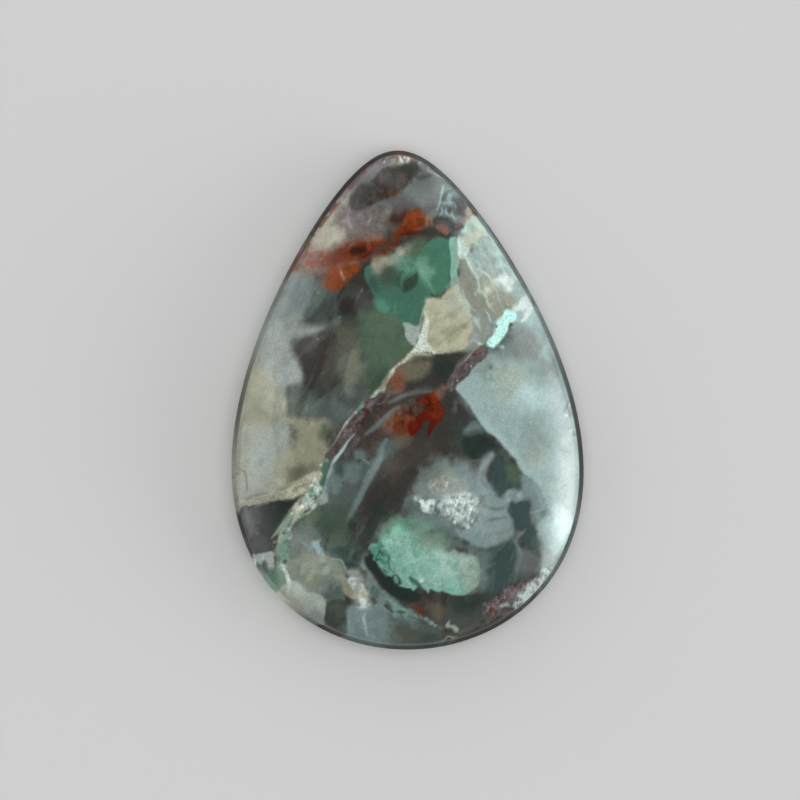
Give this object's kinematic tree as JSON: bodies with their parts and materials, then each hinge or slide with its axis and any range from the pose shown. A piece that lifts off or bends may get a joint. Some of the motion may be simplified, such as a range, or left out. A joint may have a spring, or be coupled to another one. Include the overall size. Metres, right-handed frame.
{
  "type": "chrysocolla chalcedony cabochon",
  "caption": "Polished teardrop cabochon of chrysocolla in chalcedony: a low smooth dome over a leaning girdle, resting on a flat back.",
  "frame": {"origin": "middle of the stone's bounding box on its flat back, where it rests", "axes": "+Z out of the domed face, +Y towards the pointed tip, +X to the right of the face seen from above"},
  "size_m": [0.0282, 0.04, 0.0066],
  "materials": {
    "chrysocolla_chalcedony": "polished, translucent grey-green chalcedony with milky clouds, turquoise and rust-red inclusions"
  },
  "bodies": {
    "root": {"cabochon": "chrysocolla_chalcedony"}
  },
  "joints": []
}
